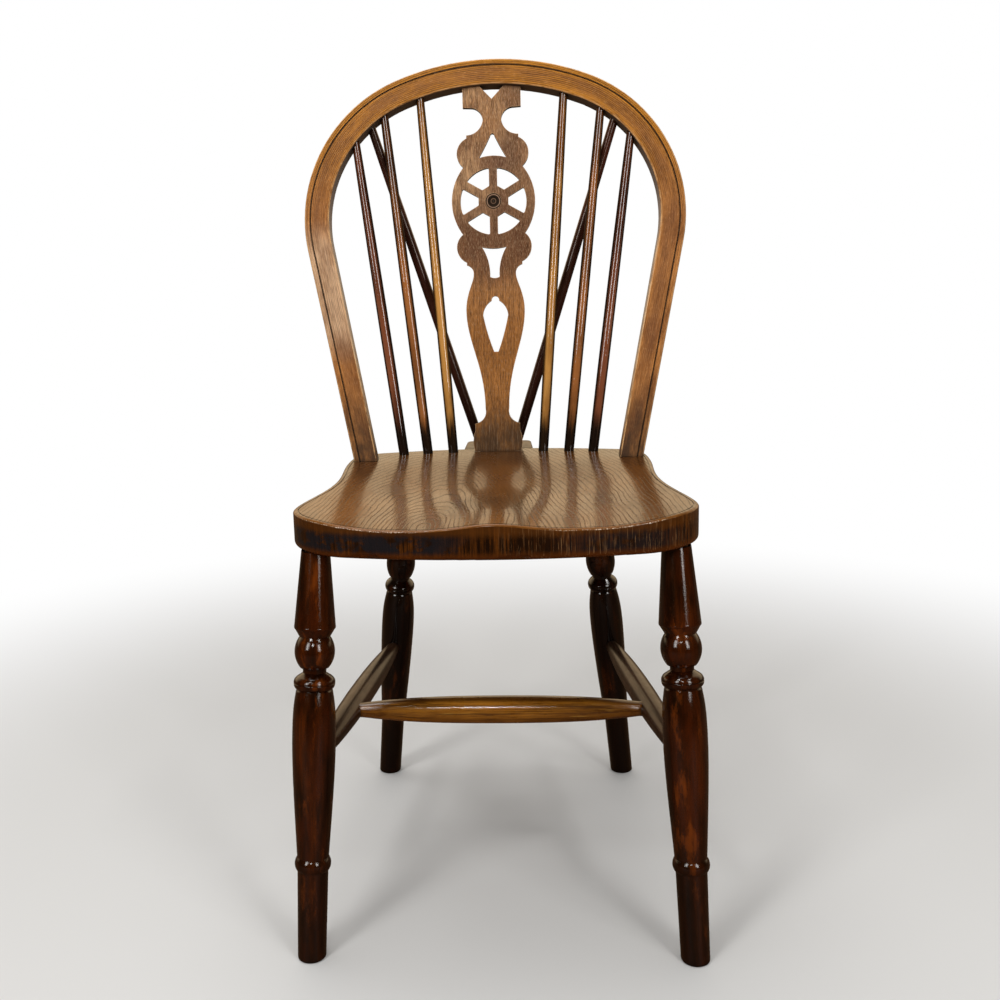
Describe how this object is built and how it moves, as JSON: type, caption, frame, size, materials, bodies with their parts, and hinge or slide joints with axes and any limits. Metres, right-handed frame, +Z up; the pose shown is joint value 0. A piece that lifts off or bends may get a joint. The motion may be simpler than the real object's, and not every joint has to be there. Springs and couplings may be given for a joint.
{
  "type": "wheelback dining chair",
  "caption": "Hoop-back wooden dining chair with a pierced wheel splat, spindles, a braced back, a saddled seat and splayed turned legs joined by stretchers.",
  "frame": {"origin": "the middle of the chair's bounding box, on the floor", "axes": "+X to the right seen from the front, +Y from the front to the back, +Z up"},
  "size_m": [0.4668, 0.5023, 0.9217],
  "materials": {
    "seat_wood": "polished elm, mid brown with darker grain",
    "hoop_wood": "polished bent ash, golden brown",
    "splat_wood": "waxed elm, grey brown",
    "spindle_wood": "waxed, golden brown darkening to the seat",
    "outer_spindle_wood": "waxed, dark red brown",
    "brace_wood": "waxed, very dark red brown",
    "leg_wood": "polished, very dark red brown",
    "side_stretcher_wood": "polished, dark brown",
    "cross_stretcher_wood": "polished, golden brown with dark grain",
    "tail_wood": "polished elm, grey brown",
    "wedge_wood": "plain, unpolished"
  },
  "bodies": {
    "root": {"seat": "seat_wood", "tail_block": "tail_wood", "hoop": "hoop_wood", "splat": "splat_wood", "cross_stretcher": "cross_stretcher_wood", "hoop_wedge_right": "wedge_wood", "brace_right": "brace_wood", "front_leg_right": "leg_wood", "rear_leg_right": "leg_wood", "side_stretcher_right": "side_stretcher_wood", "inner_spindle_right": "spindle_wood", "middle_spindle_right": "spindle_wood", "outer_spindle_right": "outer_spindle_wood", "hoop_wedge_left": "wedge_wood", "brace_left": "brace_wood", "front_leg_left": "leg_wood", "rear_leg_left": "leg_wood", "side_stretcher_left": "side_stretcher_wood", "inner_spindle_left": "spindle_wood", "middle_spindle_left": "spindle_wood", "outer_spindle_left": "outer_spindle_wood"}
  },
  "joints": []
}
